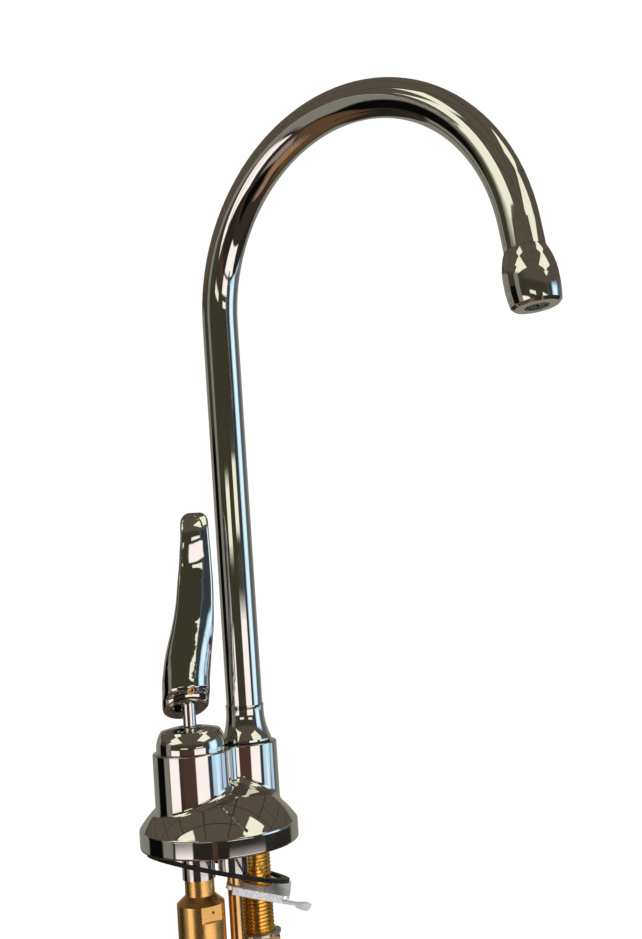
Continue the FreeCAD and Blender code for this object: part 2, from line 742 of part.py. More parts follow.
def inlet_fitting():
    """Brass supply fitting under the valve: spigot, neck, cone and a body with two wrench flats."""
    shoulder = lower_face - set_fit
    neck_foot = shoulder - fitting_neck_length
    cone_foot = neck_foot - fitting_cone_length
    body_foot = cone_foot - fitting_length
    solid = turned([(0, poppet_floor - set_fit), (fitting_spigot_radius, poppet_floor - set_fit),
                    (fitting_spigot_radius, shoulder), (fitting_neck_radius, shoulder),
                    (fitting_neck_radius, neck_foot), (fitting_radius, cone_foot),
                    (fitting_radius, body_foot + nut_chamfer), (fitting_radius - nut_chamfer, body_foot),
                    (fitting_thread_radius, body_foot), (fitting_thread_radius, fitting_foot()),
                    (0, fitting_foot())], valve_x)
    for side in (-1, 1):
        flat = Part.makeBox(4 * fitting_radius, fitting_radius, fitting_flats_height)
        flat.translate(point(valve_x - 2 * fitting_radius, side * 0.5 * (fitting_flats + fitting_radius)
                             - 0.5 * fitting_radius, cone_foot - fitting_flats_height))
        solid = solid.cut(flat)
    solid = solid.cut(rod(valve_x, 0, fitting_passage, fitting_foot(), poppet_floor))
    return solid.cut(rod(valve_x, 0, inlet_tube_radius + set_fit, fitting_foot(), inlet_tube_top()))


def fitting_foot():
    return (lower_face - set_fit - fitting_neck_length - fitting_cone_length - fitting_length
            - fitting_thread_length)


def inlet_tube_top():
    return fitting_foot() + inlet_tube_grip


def inlet_olive():
    """Compression ring between the fitting and its nut."""
    top = fitting_foot() - set_fit
    outer = 0.5 * (inlet_tube_radius + fitting_thread_radius)
    return turned([(inlet_tube_radius + set_fit, top - olive_width), (outer, top - 0.6 * olive_width),
                   (outer, top - 0.4 * olive_width), (inlet_tube_radius + olive_lip, top),
                   (inlet_tube_radius + set_fit, top)], valve_x)


def inlet_nut():
    top = fitting_foot() + inlet_nut_cover
    low = top - inlet_nut_length
    solid = hex_nut(valve_x, 0, inlet_nut_flats, low, top, nut_chamfer)
    floor = fitting_foot() - olive_width - 2 * set_fit
    solid = solid.cut(rod(valve_x, 0, fitting_thread_radius + set_fit, floor, top))
    return solid.cut(rod(valve_x, 0, inlet_tube_radius + set_fit, low, top))


def push_line(x, y, radius, height):
    """Shallow line scribed round a tube, as deep as the tube is pushed into its mate."""
    return ring(x, y, radius + 1, radius - push_line_depth, height, height + push_line_width)


def inlet_tube():
    top = inlet_tube_top() - set_fit
    low = top - inlet_tube_length
    solid = ring(valve_x, 0, inlet_tube_radius, inlet_tube_radius - inlet_tube_wall, low, top)
    return solid.cut(push_line(valve_x, 0, inlet_tube_radius, low + inlet_tube_push))


def feed_tube():
    top = lower_face + feed_tube_grip
    low = lower_face - feed_tube_length
    solid = ring(tube_x, tube_y, feed_tube_radius, feed_tube_radius - feed_tube_wall, low, top)
    return solid.cut(push_line(tube_x, tube_y, feed_tube_radius, low + feed_tube_push))


def threaded_shank():
    """Hollow stud under the spout that clamps the tap and carries the hot water up."""
    end = 0.5 * nut_chamfer
    return turned([(shank_bore, -shank_length), (shank_radius - end, -shank_length),
                   (shank_radius, -shank_length + end), (shank_radius, shank_grip - end),
                   (shank_radius - end, shank_grip), (shank_bore, shank_grip)], spout_x)


def hose_barb():
    """Barbed tail in the end of the shank for the hot water hose."""
    top = -shank_length - set_fit
    solid = rod(spout_x, 0, shank_bore - set_fit, top, -shank_length + barb_spigot_length)
    flats_foot = top - barb_flats_height
    solid = solid.fuse(hexagon(spout_x, 0, barb_flats, flats_foot, top))
    outline = [(0, flats_foot), (barb_neck_radius, flats_foot)]
    for turn in range(barb_count):
        level = flats_foot - turn * barb_pitch
        outline += [(barb_neck_radius, level - 0.3 * barb_pitch), (barb_radius, level - 0.3 * barb_pitch),
                    (barb_neck_radius, level - barb_pitch)]
    outline.append((0, flats_foot - barb_count * barb_pitch))
    solid = solid.fuse(turned(outline, spout_x)).removeSplitter()
    return solid.cut(rod(spout_x, 0, barb_bore, flats_foot - barb_count * barb_pitch, boss_top))


def mounting_nut():
    solid = hex_nut(spout_x, 0, nut_flats, nut_top - nut_height, nut_top, nut_chamfer)
    return solid.cut(rod(spout_x, 0, shank_radius + run_fit, nut_top - nut_height, nut_top))


def lock_washer():
    """Toothed washer that rides on top of the mounting nut."""
    low = nut_top + seat_gap
    solid = ring(spout_x, 0, lock_washer_radius, shank_radius + washer_play, low, low + lock_washer_thick)
    depth = 0.45 * (lock_washer_radius - shank_radius)
    for turn in range(lock_washer_teeth):
        notch = Part.makeBox(depth, depth, lock_washer_thick,
                             point(spout_x + lock_washer_radius - depth, -0.5 * depth, low))
        notch.rotate(point(spout_x, 0, low), up, turn * 360.0 / lock_washer_teeth)
        solid = solid.cut(notch)
    return solid


def base_gasket():
    """Rubber ring that hangs slanting under the foot, one side against the foot."""
    tilt = math.radians(gasket_tilt)
    solid = ring(0, 0, gasket_radius, gasket_radius - gasket_width, -0.5 * gasket_thick, 0.5 * gasket_thick)
    solid.rotate(point(0, 0, 0), point(0, 1, 0), gasket_tilt)
    hinge = point(-gasket_radius, 0, -gasket_hang - 0.5 * gasket_thick)
    middle = hinge + point(gasket_radius * math.cos(tilt), 0, -gasket_radius * math.sin(tilt))
    solid.translate(middle)
    return solid


def horseshoe_plate():
    """Stamped clamp plate, slanting on the shank, with a serrated front lip and a bent tail."""
    azimuth = math.radians(plate_azimuth)
    tilt = math.radians(plate_tilt)
    blank = Part.makeBox(plate_left + plate_right, plate_front + plate_back, plate_thick,
                         point(-plate_left, -plate_front, -plate_thick))
    corners = [edge for edge in blank.Edges if edge.BoundBox.ZLength > 0.9 * plate_thick]
    solid = blank.makeFillet(plate_corner, corners)
    lip_start = -plate_left + plate_corner
    lip_end = plate_right - plate_corner
    pitch = (lip_end - lip_start) / plate_teeth
    face = [point(lip_start, -plate_front + plate_lip_thick, 0)]
    for tooth in range(plate_teeth):
        face.append(point(lip_start + tooth * pitch, -plate_front, 0))
        face.append(point(lip_start + (tooth + 0.5) * pitch, -plate_front - plate_tooth_depth, 0))
    face += [point(lip_end, -plate_front, 0), point(lip_end, -plate_front + plate_lip_thick, 0), face[0]]
    solid = solid.fuse(Part.Face(Part.makePolygon(face)).extrude(point(0, 0, -plate_lip_drop)))
    root = lip_end - plate_lip_thick
    tab = plate_right + 0.3 * plate_tail_length
    end = plate_right + plate_tail_length
    low = -plate_lip_drop
    bent = plate_tail_height
    tail = [(root, low + 0.9 * bent), (tab, low + 0.8 * bent), (end - 1.7 * bent, low + 1.4 * bent),
            (end, low + bent), (end - 0.6 * bent, low - 0.7 * bent), (end - 1.6 * bent, low - 1.1 * bent),
            (tab + 0.3 * bent, low - 0.6 * bent), (tab, low), (root, low), (root, low + 0.9 * bent)]
    tail_wire = Part.makePolygon([point(out, -plate_front + plate_lip_thick - plate_tail_width, height)
                                  for out, height in tail])
    tail_solid = Part.Face(tail_wire).extrude(point(0, plate_tail_width, 0))
    tail_solid.translate(point(0, plate_tail_width - plate_lip_thick, 0))
    solid = solid.fuse(tail_solid).removeSplitter()
    slant = 0.5 * plate_thick * math.tan(tilt) + plate_play
    shank_hole = (shank_radius + slant) / math.cos(tilt)
    tube_hole = (feed_tube_radius + slant) / math.cos(tilt)
    away = point(tube_x - spout_x, tube_y, 0)
    tube_out = (away.x * math.cos(azimuth) + away.y * math.sin(azimuth)) / math.cos(tilt)
    tube_back = -away.x * math.sin(azimuth) + away.y * math.cos(azimuth)
    middle = 0.5 * plate_thick * math.tan(tilt)
    solid = solid.cut(rod(middle, 0, shank_hole, -plate_thick, 0))
    solid = solid.cut(rod(tube_out + middle, tube_back, tube_hole, -plate_thick, 0))
    solid.rotate(point(0, 0, 0), point(0, 1, 0), plate_tilt)
    solid.rotate(point(0, 0, 0), up, plate_azimuth)
    solid.translate(point(spout_x, 0, plate_height))
    return solid


pieces = [body, valve_block, spout_socket, valve_cap, ball_seal, lever_stem, lever_handle, handle_set_screw,
          plunger, plunger_seal, return_spring, valve_guide, flow_cage, valve_seat, seat_washer,
          poppet_holder, spout_tube, spout_collar, spout_spigot, spout_o_rings, spout_snap_ring, spout_washer,
          nozzle, nozzle_insert, inlet_fitting, inlet_olive, inlet_nut, inlet_tube, feed_tube,
          threaded_shank, hose_barb, mounting_nut, lock_washer, base_gasket, horseshoe_plate]

os.makedirs("parts", exist_ok=True)
for make in pieces:
    shape = make()
    shape.exportStep("parts/" + make.__name__ + ".step")
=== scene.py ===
"""Instant hot water tap: finishes, spring, thread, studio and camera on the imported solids, in metres."""

import math

import bpy
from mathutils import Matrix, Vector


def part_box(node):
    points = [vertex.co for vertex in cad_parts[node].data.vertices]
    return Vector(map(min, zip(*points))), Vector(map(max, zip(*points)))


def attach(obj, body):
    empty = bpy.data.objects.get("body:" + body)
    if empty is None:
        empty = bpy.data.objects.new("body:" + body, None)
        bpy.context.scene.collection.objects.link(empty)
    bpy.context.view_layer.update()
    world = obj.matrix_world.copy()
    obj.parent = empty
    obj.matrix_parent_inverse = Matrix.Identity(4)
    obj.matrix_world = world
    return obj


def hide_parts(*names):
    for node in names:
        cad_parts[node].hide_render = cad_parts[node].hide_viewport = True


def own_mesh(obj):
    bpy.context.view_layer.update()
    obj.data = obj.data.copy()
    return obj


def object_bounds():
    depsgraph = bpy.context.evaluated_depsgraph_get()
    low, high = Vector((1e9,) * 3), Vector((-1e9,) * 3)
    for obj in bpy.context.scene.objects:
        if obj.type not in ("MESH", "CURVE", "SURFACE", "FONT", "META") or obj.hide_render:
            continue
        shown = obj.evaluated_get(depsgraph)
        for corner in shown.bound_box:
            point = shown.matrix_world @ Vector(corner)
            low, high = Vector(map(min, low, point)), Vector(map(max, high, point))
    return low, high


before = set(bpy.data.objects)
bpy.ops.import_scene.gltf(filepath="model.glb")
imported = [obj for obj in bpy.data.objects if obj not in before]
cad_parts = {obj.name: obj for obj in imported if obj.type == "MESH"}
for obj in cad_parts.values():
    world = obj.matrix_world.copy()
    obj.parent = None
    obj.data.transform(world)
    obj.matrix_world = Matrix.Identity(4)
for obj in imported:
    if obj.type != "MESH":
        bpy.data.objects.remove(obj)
solid_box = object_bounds()
MM = 0.001


# Foot casting: a hollow brass casting, ground, polished and plated with bright chrome.
# It stands on the sink deck and carries the valve at its left and the spout at its right.
def new_finish(name):
    """New material, with its nodes, its links and its shader."""
    finish = bpy.data.materials.new(name)
    finish.use_nodes = True
    tree = finish.node_tree
    return finish, tree.nodes, tree.links, tree.nodes["Principled BSDF"]


def new_effect(name, scales, results):
    """New shader group that reads a place on the piece and some noise scales and puts out masks."""
    group = bpy.data.node_groups.new(name, "ShaderNodeTree")
    group.interface.new_socket("Place", in_out="INPUT", socket_type="NodeSocketVector")
    for label in scales:
        socket = group.interface.new_socket(label, in_out="INPUT", socket_type="NodeSocketFloat")
        socket.default_value = 1.0
    for label in results:
        group.interface.new_socket(label, in_out="OUTPUT", socket_type="NodeSocketFloat")
    return group, group.nodes.new("NodeGroupInput"), group.nodes.new("NodeGroupOutput")


def place_effect(nodes, links, group, stretch=(1, 1, 1), **scales):
    """Puts a shader group into a material, on the piece's own coordinates, stretched along its axes."""
    place = nodes.new("ShaderNodeTexCoord")
    mapping = nodes.new("ShaderNodeMapping")
    mapping.inputs["Scale"].default_value = stretch
    effect = nodes.new("ShaderNodeGroup")
    effect.node_tree = group
    links.new(place.outputs["Object"], mapping.inputs["Vector"])
    links.new(mapping.outputs["Vector"], effect.inputs["Place"])
    for label, scale in scales.items():
        effect.inputs[label.replace("_", " ").title()].default_value = scale
    return effect


def spread(nodes, links, mask, low, high):
    """Turns a mask of 0 to 1 into a value from low to high."""
    node = nodes.new("ShaderNodeMapRange")
    node.inputs["To Min"].default_value = low
    node.inputs["To Max"].default_value = high
    links.new(mask, node.inputs["Value"])
    return node.outputs["Result"]


def blend_colours(nodes, links, mask, first, second):
    """Mixes two colours by a mask; the first may be a colour that other nodes made."""
    mix = nodes.new("ShaderNodeMix")
    mix.data_type = "RGBA"
    links.new(mask, mix.inputs["Factor"])
    if isinstance(first, tuple):
        mix.inputs["A"].default_value = (*first, 1)
    else:
        links.new(first, mix.inputs["A"])
    mix.inputs["B"].default_value = (*second, 1)
    return mix.outputs["Result"]


def raise_surface(nodes, links, shader, height, depth):
    """Bumps the surface by a height mask, depth metres high."""
    bump = nodes.new("ShaderNodeBump")
    bump.inputs["Distance"].default_value = depth
    links.new(height, bump.inputs["Height"])
    links.new(bump.outputs["Normal"], shader.inputs["Normal"])


def noise_mask(group, entry, exit_node, scale, result, low, high, detail):
    """Adds a noise of the named scale to a group and puts it out as a mask between two noise levels."""
    noise = group.nodes.new("ShaderNodeTexNoise")
    noise.inputs["Detail"].default_value = detail
    level = group.nodes.new("ShaderNodeMapRange")
    level.inputs["From Min"].default_value = low
    level.inputs["From Max"].default_value = high
    group.links.new(entry.outputs["Place"], noise.inputs["Vector"])
    group.links.new(entry.outputs[scale], noise.inputs["Scale"])
    group.links.new(noise.outputs["Fac"], level.inputs["Value"])
    group.links.new(level.outputs["Result"], exit_node.inputs[result])


polish_haze, entry, exit_node = new_effect(
    "polish_haze", ("Smudge Scale", "Ripple Scale"), ("Smudge", "Ripple")
)
noise_mask(
    polish_haze, entry, exit_node, "Smudge Scale", "Smudge", low=0.42, high=0.72, detail=5.0
)
noise_mask(
    polish_haze, entry, exit_node, "Ripple Scale", "Ripple", low=0.2, high=0.8, detail=1.0
)


def bright_plate(name, clean, hazed, gloss, haze, smudge_scale, ripple_scale, ripple_depth):
    """Polished plating: clean and hazed patches, a little wave left by the polishing wheel."""
    finish, nodes, links, shader = new_finish(name)
    shader.inputs["Metallic"].default_value = 1.0
    effect = place_effect(
        nodes, links, polish_haze, smudge_scale=smudge_scale, ripple_scale=ripple_scale
    )
    smudge = effect.outputs["Smudge"]
    colour = blend_colours(nodes, links, smudge, clean, hazed)
    links.new(colour, shader.inputs["Base Color"])
    links.new(spread(nodes, links, smudge, gloss, haze), shader.inputs["Roughness"])
    raise_surface(nodes, links, shader, effect.outputs["Ripple"], ripple_depth)
    return finish


def dress(finish, *names):
    """Gives solids one finish all over."""
    for name in names:
        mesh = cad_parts[name].data
        mesh.materials.clear()
        mesh.materials.append(finish)


chrome_clean = (0.66, 0.65, 0.64)
chrome_hazed = (0.62, 0.62, 0.63)
foot_chrome = bright_plate(
    "foot_chrome", chrome_clean, chrome_hazed,
    gloss=0.025, haze=0.06, smudge_scale=70, ripple_scale=45, ripple_depth=0.02 * MM,
)
dress(foot_chrome, "body")


# Valve block: the waterway casting inside the foot. Only its two lower bosses show, under the
# rim; they were dipped with the foot and plated, but never buffed as bright.
block_chrome = bright_plate(
    "block_chrome", clean=(0.68, 0.67, 0.66), hazed=(0.55, 0.55, 0.55),
    gloss=0.07, haze=0.16, smudge_scale=160, ripple_scale=90, ripple_depth=0.03 * MM,
)
dress(block_chrome, "valve_block")


# Spout socket: a brass bush turned from bar, pressed into the foot, where the spout's spigot turns.
# Turning leaves fine rings round its axis, and the brass has gone a little brown since.
lathe_marks, entry, exit_node = new_effect(
    "lathe_marks", ("Ring Scale", "Tarnish Scale"), ("Rings", "Tarnish")
)
noise_mask(lathe_marks, entry, exit_node, "Ring Scale", "Rings", low=0.3, high=0.7, detail=2.0)
noise_mask(
    lathe_marks, entry, exit_node, "Tarnish Scale", "Tarnish", low=0.4, high=0.75, detail=6.0
)
round_the_axis = (25, 25, 2600)


def turned_metal(
    name, bright, dull, gloss, dullness, ring_depth, tarnish_scale, rings_along=round_the_axis
):
    """Metal turned on a lathe or drawn: fine marks in the shine and patches of tarnish."""
    finish, nodes, links, shader = new_finish(name)
    shader.inputs["Metallic"].default_value = 1.0
    rings = place_effect(nodes, links, lathe_marks, stretch=rings_along).outputs["Rings"]
    tarnish = place_effect(nodes, links, lathe_marks, tarnish_scale=tarnish_scale)
    colour = blend_colours(nodes, links, tarnish.outputs["Tarnish"], bright, dull)
    links.new(colour, shader.inputs["Base Color"])
    links.new(spread(nodes, links, rings, gloss, dullness), shader.inputs["Roughness"])
    raise_surface(nodes, links, shader, rings, ring_depth)
    return finish


brass_bright = (0.92, 0.54, 0.17)
brass_dull = (0.66, 0.34, 0.08)
socket_brass = turned_metal(
    "socket_brass", brass_bright, brass_dull,
    gloss=0.2, dullness=0.36, ring_depth=0.02 * MM, tarnish_scale=120,
)
dress(socket_brass, "spout_socket")


# Valve seat: a stainless disc, turned and lapped, on the waterway's step. Water has left it
# slightly dull.
seat_steel = turned_metal(
    "seat_steel", bright=(0.60, 0.59, 0.57), dull=(0.42, 0.41, 0.39),
    gloss=0.15, dullness=0.3, ring_depth=0.01 * MM, tarnish_scale=200,
)
dress(seat_steel, "valve_seat")


# Return spring: wound from drawn stainless wire. It stands on the valve guide under the push rod's
# head, and it is pressed shorter when the rod goes down.
spring_low, spring_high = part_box("return_spring")
spring_x = 0.5 * (spring_low[0] + spring_high[0])
spring_y = 0.5 * (spring_low[1] + spring_high[1])
spring_length = spring_high[2] - spring_low[2]
spring_wire_radius = 0.45 * MM
spring_mean_radius = 0.5 * (spring_high[0] - spring_low[0]) - spring_wire_radius
spring_turns = 5
spring_pitch = (spring_length - 2 * spring_wire_radius) / spring_turns
spring_steps = 36
wire_sides = 12
wire_crease = math.radians(40)
wire_marks = (400, 400, 400)
weld_distance = 0.01 * MM
quarter_turn = math.radians(90)
whole_turn = math.radians(360)


def only_selected(piece):
    """Makes a piece the one that operators act on."""
    bpy.ops.object.select_all(action="DESELECT")
    piece.select_set(True)
    bpy.context.view_layer.objects.active = piece


def wind(piece, pitch, turns, steps):
    """Winds a flat outline round Z into a helix, with the given number of steps to a turn."""
    helix = piece.modifiers.new("helix", "SCREW")
    helix.axis = "Z"
    helix.angle = whole_turn
    helix.screw_offset = pitch
    helix.iterations = turns
    helix.steps = steps
    helix.render_steps = steps
    helix.use_merge_vertices = True
    helix.merge_threshold = weld_distance
    only_selected(piece)
    bpy.ops.object.modifier_apply(modifier="helix")


bpy.ops.mesh.primitive_circle_add(vertices=wire_sides, radius=spring_wire_radius)
spring = bpy.context.object
spring.name = "spring_coil"
bpy.ops.object.mode_set(mode="EDIT")
bpy.ops.mesh.select_all(action="SELECT")
bpy.ops.transform.rotate(value=quarter_turn, orient_axis="X", center_override=(0, 0, 0))
bpy.ops.transform.translate(value=(spring_mean_radius, 0, 0))
bpy.ops.object.mode_set(mode="OBJECT")
wind(spring, spring_pitch, spring_turns, spring_steps)
bpy.ops.object.mode_set(mode="EDIT")
bpy.ops.mesh.select_all(action="SELECT")
bpy.ops.mesh.remove_doubles(threshold=weld_distance)
bpy.ops.mesh.select_non_manifold()
bpy.ops.mesh.edge_face_add()
bpy.ops.mesh.select_all(action="SELECT")
bpy.ops.mesh.normals_make_consistent(inside=False)
bpy.ops.transform.translate(value=(spring_x, spring_y, spring_low[2] + spring_wire_radius))
bpy.ops.object.mode_set(mode="OBJECT")
bpy.ops.object.shade_smooth_by_angle(angle=wire_crease)
spring_steel = turned_metal(
    "spring_steel", bright=(0.56, 0.55, 0.53), dull=(0.36, 0.35, 0.34),
    gloss=0.22, dullness=0.4, ring_depth=0.01 * MM, tarnish_scale=320, rings_along=wire_marks,
)
spring.data.materials.append(spring_steel)
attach(spring, "tap_body")
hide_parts("return_spring")
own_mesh(spring)


# Push rod and poppet holder: brass, turned to a close size and left bright, because they slide in
# the guide all their life.
rod_brass = turned_metal(
    "rod_brass", (0.80, 0.56, 0.22), brass_dull,
    gloss=0.14, dullness=0.26, ring_depth=0.01 * MM, tarnish_scale=180,
)
dress(rod_brass, "plunger", "poppet_holder")


# Valve guide and flow cage: moulded in grey nylon. The mould was finely blasted, so the skin is
# matt with a faint grain, a little paler where it has rubbed.
skin_grain, entry, exit_node = new_effect(
    "skin_grain", ("Grain Scale", "Patch Scale"), ("Grain", "Patches")
)
noise_mask(skin_grain, entry, exit_node, "Grain Scale", "Grain", low=0.25, high=0.75, detail=2.0)
noise_mask(skin_grain, entry, exit_node, "Patch Scale", "Patches", low=0.4, high=0.7, detail=4.0)


def moulded_skin(name, base, rubbed, gloss, dullness, grain_scale, grain_depth, patch_scale):
    """Moulded plastic or rubber: grain in the surface, and rubbed or dusty patches."""
    finish, nodes, links, shader = new_finish(name)
    effect = place_effect(
        nodes, links, skin_grain, grain_scale=grain_scale, patch_scale=patch_scale
    )
    patches = effect.outputs["Patches"]
    links.new(blend_colours(nodes, links, patches, base, rubbed), shader.inputs["Base Color"])
    links.new(spread(nodes, links, patches, gloss, dullness), shader.inputs["Roughness"])
    raise_surface(nodes, links, shader, effect.outputs["Grain"], grain_depth)
    return finish


guide_nylon = moulded_skin(
    "guide_nylon", base=(0.50, 0.50, 0.48), rubbed=(0.60, 0.60, 0.57),
    gloss=0.38, dullness=0.55, grain_scale=2600, grain_depth=0.03 * MM, patch_scale=140,
)
dress(guide_nylon, "valve_guide", "flow_cage")


# Ring seals and poppet washer: moulded black rubber, greased when fitted, so they shine more than
# the gasket below the foot does.
seal_rubber = moulded_skin(
    "seal_rubber", base=(0.012, 0.012, 0.013), rubbed=(0.035, 0.034, 0.033),
    gloss=0.25, dullness=0.5, grain_scale=3000, grain_depth=0.02 * MM, patch_scale=260,
)
dress(seal_rubber, "ball_seal", "plunger_seal", "seat_washer", "spout_o_rings")


# Valve cap: a domed bonnet turned from brass, polished and chromed, screwed down into the left
# boss. The lever's stem comes up through its crown.
cap_chrome = bright_plate(
    "cap_chrome", chrome_clean, chrome_hazed,
    gloss=0.025, haze=0.07, smudge_scale=110, ripple_scale=70, ripple_depth=0.02 * MM,
)
dress(cap_chrome, "valve_cap")


# Lever stem and handle: the stem is a plated steel pin, the handle a zinc casting plated bright.
# The casting was buffed by hand, so its faces wander and the room bends in them.
stem_chrome = bright_plate(
    "stem_chrome", chrome_clean, chrome_hazed,
    gloss=0.04, haze=0.1, smudge_scale=220, ripple_scale=120, ripple_depth=0.02 * MM,
)
dress(stem_chrome, "lever_stem")
handle_chrome = bright_plate(
    "handle_chrome", chrome_clean, chrome_hazed,
    gloss=0.02, haze=0.055, smudge_scale=95, ripple_scale=75, ripple_depth=0.3 * MM,
)
dress(handle_chrome, "lever_handle")


# Handle set screw: a small brass socket screw, set below the skin of the handle's front, that
# grips the stem.
screw_brass = turned_metal(
    "screw_brass", bright=(0.62, 0.40, 0.15), dull=(0.26, 0.15, 0.05),
    gloss=0.22, dullness=0.4, ring_depth=0.01 * MM, tarnish_scale=700,
)
dress(screw_brass, "handle_set_screw")


# Spout spigot: the brass plug on which the spout turns, soldered into the tube's foot. Its snap ring
# is bent from spring steel and its thrust washer is stamped from dark grey nylon.
spigot_brass = turned_metal(
    "spigot_brass", (0.80, 0.55, 0.21), brass_dull,
    gloss=0.16, dullness=0.3, ring_depth=0.01 * MM, tarnish_scale=150,
)
dress(spigot_brass, "spout_spigot")
ring_marks = (300, 300, 300)
ring_steel = turned_metal(
    "ring_steel", bright=(0.45, 0.44, 0.42), dull=(0.22, 0.20, 0.18),
    gloss=0.25, dullness=0.42, ring_depth=0.01 * MM, tarnish_scale=500, rings_along=ring_marks,
)
dress(ring_steel, "spout_snap_ring")
washer_nylon = moulded_skin(
    "washer_nylon", base=(0.03, 0.03, 0.03), rubbed=(0.06, 0.06, 0.058),
    gloss=0.4, dullness=0.55, grain_scale=2600, grain_depth=0.02 * MM, patch_scale=200,
)
dress(washer_nylon, "spout_washer")


# Spout: the collar is a turned trumpet ferrule, the gooseneck a drawn brass tube bent cold, and the
# outlet a turned barrel. All three are polished along their length and chromed.
collar_chrome = bright_plate(
    "collar_chrome", chrome_clean, chrome_hazed,
    gloss=0.025, haze=0.06, smudge_scale=130, ripple_scale=80, ripple_depth=0.02 * MM,
)
dress(collar_chrome, "spout_collar")
gooseneck_chrome = bright_plate(
    "gooseneck_chrome", chrome_clean, chrome_hazed,
    gloss=0.025, haze=0.065, smudge_scale=60, ripple_scale=38, ripple_depth=0.06 * MM,
)
dress(gooseneck_chrome, "spout_tube")
outlet_chrome = bright_plate(
    "outlet_chrome", chrome_clean, chrome_hazed,
    gloss=0.03, haze=0.075, smudge_scale=130, ripple_scale=90, ripple_depth=0.03 * MM,
)
dress(outlet_chrome, "nozzle")


# Stream straightener: a star moulded in dark grey nylon, pushed up into the outlet.
# Lime has left it paler in patches.
star_nylon = moulded_skin(
    "star_nylon", base=(0.10, 0.095, 0.09), rubbed=(0.28, 0.27, 0.25),
    gloss=0.4, dullness=0.6, grain_scale=2400, grain_depth=0.03 * MM, patch_scale=300,
)
dress(star_nylon, "nozzle_insert")


# Supply fitting: turned from brass bar with two flats milled for a wrench, screwed up into the left
# boss. The front flat carries one small dark red speck.
fitting_brass = turned_metal(
    "fitting_brass", bright=(0.94, 0.55, 0.19), dull=(0.82, 0.46, 0.14),
    gloss=0.26, dullness=0.3, ring_depth=0.001 * MM, tarnish_scale=70,
)
speck_place = (-8.4 * MM, -7.1 * MM, -20.8 * MM)
speck_radius = 0.6 * MM
speck_core = 0.6 * speck_radius
speck_red = (0.16, 0.03, 0.01)


def add_speck(finish, place, radius, core, colour):
    """Sets one round speck on a finish: full colour to the core's radius, then fading out."""
    nodes, links = finish.node_tree.nodes, finish.node_tree.links
    shader = nodes["Principled BSDF"]
    under = shader.inputs["Base Color"].links[0].from_socket
    coordinates = nodes.new("ShaderNodeTexCoord")
    distance = nodes.new("ShaderNodeVectorMath")
    distance.operation = "DISTANCE"
    distance.inputs[1].default_value = place
    rim = nodes.new("ShaderNodeMapRange")
    rim.inputs["From Min"].default_value = radius
    rim.inputs["From Max"].default_value = core
    links.new(coordinates.outputs["Object"], distance.inputs[0])
    links.new(distance.outputs["Value"], rim.inputs["Value"])
    spotted = blend_colours(nodes, links, rim.outputs["Result"], under, colour)
    links.new(spotted, shader.inputs["Base Color"])


add_speck(fitting_brass, speck_place, speck_radius, speck_core, speck_red)
dress(fitting_brass, "inlet_fitting")


# Compression joint of the supply: a hexagon nut and an olive, both brass. The nut draws the olive
# down on the supply tube.
nut_brass = turned_metal(
    "nut_brass", (0.74, 0.49, 0.17), brass_dull,
    gloss=0.22, dullness=0.38, ring_depth=0.02 * MM, tarnish_scale=110,
)
dress(nut_brass, "inlet_nut", "inlet_olive")


# Supply tube and tank tube: soft copper, drawn to size, so the shine runs in streaks along them and
# darkens where hands have bent them.
along_the_tube = (2600, 2600, 14)
tube_copper = turned_metal(
    "tube_copper", bright=(0.88, 0.54, 0.24), dull=(0.58, 0.31, 0.11),
    gloss=0.14, dullness=0.28, ring_depth=0.01 * MM, tarnish_scale=80, rings_along=along_the_tube,
)
dress(tube_copper, "feed_tube", "inlet_tube")


# Threaded shank: hollow brass stud with a rolled right-hand thread all along, screwed up into the
# spout's socket. The thread is one helix, cut square at both ends of the stud.
shank_low, shank_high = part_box("threaded_shank")
shank_x = 0.5 * (shank_low[0] + shank_high[0])
shank_y = 0.5 * (shank_low[1] + shank_high[1])
shank_radius = 0.5 * (shank_high[0] - shank_low[0])
thread_pitch = 1.27 * MM
thread_depth = 0.62 * thread_pitch
thread_strips = 5
spare_turns = 4
thread_turns = math.ceil((shank_high[2] - shank_low[2]) / thread_pitch) + spare_turns
thread_steps = 48
thread_crease = math.radians(25)


def select_points(piece, wanted):
    """In edit mode, selects the points that the test picks, and nothing else."""
    bpy.ops.mesh.select_mode(type="VERT")
    bpy.ops.mesh.select_all(action="DESELECT")
    bpy.ops.object.mode_set(mode="OBJECT")
    for point in piece.data.vertices:
        point.select = wanted(point.co)
    bpy.ops.object.mode_set(mode="EDIT")


bpy.ops.mesh.primitive_plane_add(size=thread_pitch)
shank = bpy.context.object
shank.name = "shank_thread"
bpy.ops.object.mode_set(mode="EDIT")
select_points(shank, lambda co: co.x > 0)
bpy.ops.mesh.delete(type="VERT")
bpy.ops.mesh.select_all(action="SELECT")
bpy.ops.transform.rotate(value=quarter_turn, orient_axis="X", center_override=(0, 0, 0))
bpy.ops.transform.translate(value=(shank_radius - thread_depth + 0.5 * thread_pitch, 0, 0))
bpy.ops.mesh.subdivide(number_cuts=thread_strips - 1)
select_points(shank, lambda co: abs(co.z) < thread_pitch / thread_strips)
bpy.ops.transform.translate(value=(thread_depth, 0, 0))
bpy.ops.object.mode_set(mode="OBJECT")
wind(shank, thread_pitch, thread_turns, thread_steps)
bpy.ops.object.mode_set(mode="EDIT")
bpy.ops.mesh.select_all(action="SELECT")
bpy.ops.mesh.remove_doubles(threshold=weld_distance)
lift = shank_low[2] - 0.5 * spare_turns * thread_pitch
bpy.ops.transform.translate(value=(shank_x, shank_y, lift))
bpy.ops.mesh.bisect(
    plane_co=(0, 0, shank_low[2]), plane_no=(0, 0, 1), clear_inner=True, use_fill=True
)
bpy.ops.mesh.select_all(action="SELECT")
